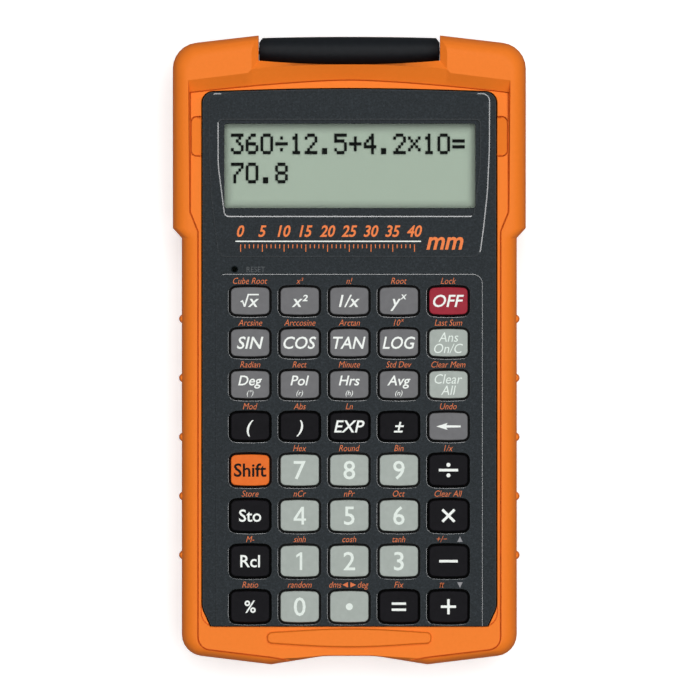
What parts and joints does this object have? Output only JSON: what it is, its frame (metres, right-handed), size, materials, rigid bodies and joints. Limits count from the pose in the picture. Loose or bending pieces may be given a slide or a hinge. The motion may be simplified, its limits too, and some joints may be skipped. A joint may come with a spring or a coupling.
{
  "type": "calculator",
  "caption": "Pocket keypad calculator snapped into a ribbed protective case with a two-axis hinge; its cover folds flat behind it.",
  "frame": {"origin": "centre of the footprint, on the surface it lies on", "axes": "+Z out of the keypad, +Y from the bottom edge towards the hinge, +X to the right of the keypad"},
  "size_m": [0.0812, 0.1448, 0.0207],
  "materials": {
    "orange_case": "injection-moulded ABS, fine spark-eroded texture",
    "hinge_black": "moulded black acetal, satin",
    "dark_housing": "moulded charcoal ABS, fine speckled grain",
    "display_window": "clear acrylic window",
    "display_glass": "liquid crystal glass with grey-green reflector",
    "connector_rubber": "banded conductive silicone",
    "silicone_sheet": "translucent silicone",
    "board_laminate": "glass-epoxy laminate, green solder mask",
    "steel": "zinc-plated steel",
    "cell_steel": "nickel-plated coin cell can",
    "key_grey": "moulded keycap, satin",
    "key_red": "moulded keycap, satin",
    "key_pale": "moulded keycap, satin",
    "key_black": "moulded keycap, satin",
    "key_orange": "moulded keycap, satin",
    "ink_white": "pad-printed ink",
    "ink_orange": "pad-printed ink",
    "ink_grey": "pad-printed ink",
    "ink_black": "pad-printed ink",
    "display_segments": "switched liquid crystal dots"
  },
  "bodies": {
    "case": {"case_tray": "orange_case", "hinge_pin_case": "steel", "front_housing": "dark_housing", "back_housing": "dark_housing", "battery_door": "dark_housing", "battery_cell": "cell_steel", "battery_contact_minus": "steel", "battery_contact_plus": "steel", "display_lens": "display_window", "display_glass": "display_glass", "display_connector": "connector_rubber", "circuit_board": "board_laminate", "dome_sheet": "silicone_sheet", "housing_screw_1": "steel", "housing_screw_2": "steel", "housing_screw_3": "steel", "housing_screw_4": "steel"},
    "link": {"hinge_link": "hinge_black", "hinge_pin_lid": "steel"},
    "lid": {"flip_lid": "orange_case"},
    "key_square_root": {"key_square_root": "key_grey"},
    "key_square": {"key_square": "key_grey"},
    "key_reciprocal": {"key_reciprocal": "key_grey"},
    "key_power": {"key_power": "key_grey"},
    "key_off": {"key_off": "key_red"},
    "key_sine": {"key_sine": "key_grey"},
    "key_cosine": {"key_cosine": "key_grey"},
    "key_tangent": {"key_tangent": "key_grey"},
    "key_logarithm": {"key_logarithm": "key_grey"},
    "key_on": {"key_on": "key_pale"},
    "key_angle_unit": {"key_angle_unit": "key_grey"},
    "key_polar": {"key_polar": "key_grey"},
    "key_hours": {"key_hours": "key_grey"},
    "key_mean": {"key_mean": "key_grey"},
    "key_clear_all": {"key_clear_all": "key_pale"},
    "key_open_bracket": {"key_open_bracket": "key_black"},
    "key_close_bracket": {"key_close_bracket": "key_black"},
    "key_exponent": {"key_exponent": "key_black"},
    "key_sign": {"key_sign": "key_black"},
    "key_backspace": {"key_backspace": "key_grey"},
    "key_shift": {"key_shift": "key_orange"},
    "key_7": {"key_7": "key_pale"},
    "key_8": {"key_8": "key_pale"},
    "key_9": {"key_9": "key_pale"},
    "key_divide": {"key_divide": "key_black"},
    "key_store": {"key_store": "key_black"},
    "key_4": {"key_4": "key_pale"},
    "key_5": {"key_5": "key_pale"},
    "key_6": {"key_6": "key_pale"},
    "key_multiply": {"key_multiply": "key_black"},
    "key_recall": {"key_recall": "key_black"},
    "key_1": {"key_1": "key_pale"},
    "key_2": {"key_2": "key_pale"},
    "key_3": {"key_3": "key_pale"},
    "key_minus": {"key_minus": "key_black"},
    "key_percent": {"key_percent": "key_black"},
    "key_0": {"key_0": "key_pale"},
    "key_decimal_point": {"key_decimal_point": "key_pale"},
    "key_equals": {"key_equals": "key_black"},
    "key_plus": {"key_plus": "key_black"}
  },
  "joints": [
    {"name": "link_fold", "type": "hinge", "parent": "case", "child": "link", "pos_m": [0, 0.06893, 0.01225], "axis": [1, 0, 0], "range_deg": [0, 180]},
    {"name": "lid_fold", "type": "hinge", "parent": "link", "child": "lid", "pos_m": [0, 0.06893, 0.0021], "axis": [1, 0, 0], "range_deg": [0, 180]},
    {"name": "press_square_root", "type": "slide", "parent": "case", "child": "key_square_root", "axis": [0, 0, -1], "range_m": [0, 0.001], "stiffness_N_per_m": 500, "springref_m": -0.0003, "deforming": ["dome_sheet"]},
    {"name": "press_square", "type": "slide", "parent": "case", "child": "key_square", "axis": [0, 0, -1], "range_m": [0, 0.001], "stiffness_N_per_m": 500, "springref_m": -0.0003, "deforming": ["dome_sheet"]},
    {"name": "press_reciprocal", "type": "slide", "parent": "case", "child": "key_reciprocal", "axis": [0, 0, -1], "range_m": [0, 0.001], "stiffness_N_per_m": 500, "springref_m": -0.0003, "deforming": ["dome_sheet"]},
    {"name": "press_power", "type": "slide", "parent": "case", "child": "key_power", "axis": [0, 0, -1], "range_m": [0, 0.001], "stiffness_N_per_m": 500, "springref_m": -0.0003, "deforming": ["dome_sheet"]},
    {"name": "press_off", "type": "slide", "parent": "case", "child": "key_off", "axis": [0, 0, -1], "range_m": [0, 0.001], "stiffness_N_per_m": 500, "springref_m": -0.0003, "deforming": ["dome_sheet"]},
    {"name": "press_sine", "type": "slide", "parent": "case", "child": "key_sine", "axis": [0, 0, -1], "range_m": [0, 0.001], "stiffness_N_per_m": 500, "springref_m": -0.0003, "deforming": ["dome_sheet"]},
    {"name": "press_cosine", "type": "slide", "parent": "case", "child": "key_cosine", "axis": [0, 0, -1], "range_m": [0, 0.001], "stiffness_N_per_m": 500, "springref_m": -0.0003, "deforming": ["dome_sheet"]},
    {"name": "press_tangent", "type": "slide", "parent": "case", "child": "key_tangent", "axis": [0, 0, -1], "range_m": [0, 0.001], "stiffness_N_per_m": 500, "springref_m": -0.0003, "deforming": ["dome_sheet"]},
    {"name": "press_logarithm", "type": "slide", "parent": "case", "child": "key_logarithm", "axis": [0, 0, -1], "range_m": [0, 0.001], "stiffness_N_per_m": 500, "springref_m": -0.0003, "deforming": ["dome_sheet"]},
    {"name": "press_on", "type": "slide", "parent": "case", "child": "key_on", "axis": [0, 0, -1], "range_m": [0, 0.001], "stiffness_N_per_m": 500, "springref_m": -0.0003, "deforming": ["dome_sheet"]},
    {"name": "press_angle_unit", "type": "slide", "parent": "case", "child": "key_angle_unit", "axis": [0, 0, -1], "range_m": [0, 0.001], "stiffness_N_per_m": 500, "springref_m": -0.0003, "deforming": ["dome_sheet"]},
    {"name": "press_polar", "type": "slide", "parent": "case", "child": "key_polar", "axis": [0, 0, -1], "range_m": [0, 0.001], "stiffness_N_per_m": 500, "springref_m": -0.0003, "deforming": ["dome_sheet"]},
    {"name": "press_hours", "type": "slide", "parent": "case", "child": "key_hours", "axis": [0, 0, -1], "range_m": [0, 0.001], "stiffness_N_per_m": 500, "springref_m": -0.0003, "deforming": ["dome_sheet"]},
    {"name": "press_mean", "type": "slide", "parent": "case", "child": "key_mean", "axis": [0, 0, -1], "range_m": [0, 0.001], "stiffness_N_per_m": 500, "springref_m": -0.0003, "deforming": ["dome_sheet"]},
    {"name": "press_clear_all", "type": "slide", "parent": "case", "child": "key_clear_all", "axis": [0, 0, -1], "range_m": [0, 0.001], "stiffness_N_per_m": 500, "springref_m": -0.0003, "deforming": ["dome_sheet"]},
    {"name": "press_open_bracket", "type": "slide", "parent": "case", "child": "key_open_bracket", "axis": [0, 0, -1], "range_m": [0, 0.001], "stiffness_N_per_m": 500, "springref_m": -0.0003, "deforming": ["dome_sheet"]},
    {"name": "press_close_bracket", "type": "slide", "parent": "case", "child": "key_close_bracket", "axis": [0, 0, -1], "range_m": [0, 0.001], "stiffness_N_per_m": 500, "springref_m": -0.0003, "deforming": ["dome_sheet"]},
    {"name": "press_exponent", "type": "slide", "parent": "case", "child": "key_exponent", "axis": [0, 0, -1], "range_m": [0, 0.001], "stiffness_N_per_m": 500, "springref_m": -0.0003, "deforming": ["dome_sheet"]},
    {"name": "press_sign", "type": "slide", "parent": "case", "child": "key_sign", "axis": [0, 0, -1], "range_m": [0, 0.001], "stiffness_N_per_m": 500, "springref_m": -0.0003, "deforming": ["dome_sheet"]},
    {"name": "press_backspace", "type": "slide", "parent": "case", "child": "key_backspace", "axis": [0, 0, -1], "range_m": [0, 0.001], "stiffness_N_per_m": 500, "springref_m": -0.0003, "deforming": ["dome_sheet"]},
    {"name": "press_shift", "type": "slide", "parent": "case", "child": "key_shift", "axis": [0, 0, -1], "range_m": [0, 0.001], "stiffness_N_per_m": 500, "springref_m": -0.0003, "deforming": ["dome_sheet"]},
    {"name": "press_7", "type": "slide", "parent": "case", "child": "key_7", "axis": [0, 0, -1], "range_m": [0, 0.001], "stiffness_N_per_m": 500, "springref_m": -0.0003, "deforming": ["dome_sheet"]},
    {"name": "press_8", "type": "slide", "parent": "case", "child": "key_8", "axis": [0, 0, -1], "range_m": [0, 0.001], "stiffness_N_per_m": 500, "springref_m": -0.0003, "deforming": ["dome_sheet"]},
    {"name": "press_9", "type": "slide", "parent": "case", "child": "key_9", "axis": [0, 0, -1], "range_m": [0, 0.001], "stiffness_N_per_m": 500, "springref_m": -0.0003, "deforming": ["dome_sheet"]},
    {"name": "press_divide", "type": "slide", "parent": "case", "child": "key_divide", "axis": [0, 0, -1], "range_m": [0, 0.001], "stiffness_N_per_m": 500, "springref_m": -0.0003, "deforming": ["dome_sheet"]},
    {"name": "press_store", "type": "slide", "parent": "case", "child": "key_store", "axis": [0, 0, -1], "range_m": [0, 0.001], "stiffness_N_per_m": 500, "springref_m": -0.0003, "deforming": ["dome_sheet"]},
    {"name": "press_4", "type": "slide", "parent": "case", "child": "key_4", "axis": [0, 0, -1], "range_m": [0, 0.001], "stiffness_N_per_m": 500, "springref_m": -0.0003, "deforming": ["dome_sheet"]},
    {"name": "press_5", "type": "slide", "parent": "case", "child": "key_5", "axis": [0, 0, -1], "range_m": [0, 0.001], "stiffness_N_per_m": 500, "springref_m": -0.0003, "deforming": ["dome_sheet"]},
    {"name": "press_6", "type": "slide", "parent": "case", "child": "key_6", "axis": [0, 0, -1], "range_m": [0, 0.001], "stiffness_N_per_m": 500, "springref_m": -0.0003, "deforming": ["dome_sheet"]},
    {"name": "press_multiply", "type": "slide", "parent": "case", "child": "key_multiply", "axis": [0, 0, -1], "range_m": [0, 0.001], "stiffness_N_per_m": 500, "springref_m": -0.0003, "deforming": ["dome_sheet"]},
    {"name": "press_recall", "type": "slide", "parent": "case", "child": "key_recall", "axis": [0, 0, -1], "range_m": [0, 0.001], "stiffness_N_per_m": 500, "springref_m": -0.0003, "deforming": ["dome_sheet"]},
    {"name": "press_1", "type": "slide", "parent": "case", "child": "key_1", "axis": [0, 0, -1], "range_m": [0, 0.001], "stiffness_N_per_m": 500, "springref_m": -0.0003, "deforming": ["dome_sheet"]},
    {"name": "press_2", "type": "slide", "parent": "case", "child": "key_2", "axis": [0, 0, -1], "range_m": [0, 0.001], "stiffness_N_per_m": 500, "springref_m": -0.0003, "deforming": ["dome_sheet"]},
    {"name": "press_3", "type": "slide", "parent": "case", "child": "key_3", "axis": [0, 0, -1], "range_m": [0, 0.001], "stiffness_N_per_m": 500, "springref_m": -0.0003, "deforming": ["dome_sheet"]},
    {"name": "press_minus", "type": "slide", "parent": "case", "child": "key_minus", "axis": [0, 0, -1], "range_m": [0, 0.001], "stiffness_N_per_m": 500, "springref_m": -0.0003, "deforming": ["dome_sheet"]},
    {"name": "press_percent", "type": "slide", "parent": "case", "child": "key_percent", "axis": [0, 0, -1], "range_m": [0, 0.001], "stiffness_N_per_m": 500, "springref_m": -0.0003, "deforming": ["dome_sheet"]},
    {"name": "press_0", "type": "slide", "parent": "case", "child": "key_0", "axis": [0, 0, -1], "range_m": [0, 0.001], "stiffness_N_per_m": 500, "springref_m": -0.0003, "deforming": ["dome_sheet"]},
    {"name": "press_decimal_point", "type": "slide", "parent": "case", "child": "key_decimal_point", "axis": [0, 0, -1], "range_m": [0, 0.001], "stiffness_N_per_m": 500, "springref_m": -0.0003, "deforming": ["dome_sheet"]},
    {"name": "press_equals", "type": "slide", "parent": "case", "child": "key_equals", "axis": [0, 0, -1], "range_m": [0, 0.001], "stiffness_N_per_m": 500, "springref_m": -0.0003, "deforming": ["dome_sheet"]},
    {"name": "press_plus", "type": "slide", "parent": "case", "child": "key_plus", "axis": [0, 0, -1], "range_m": [0, 0.001], "stiffness_N_per_m": 500, "springref_m": -0.0003, "deforming": ["dome_sheet"]}
  ]
}
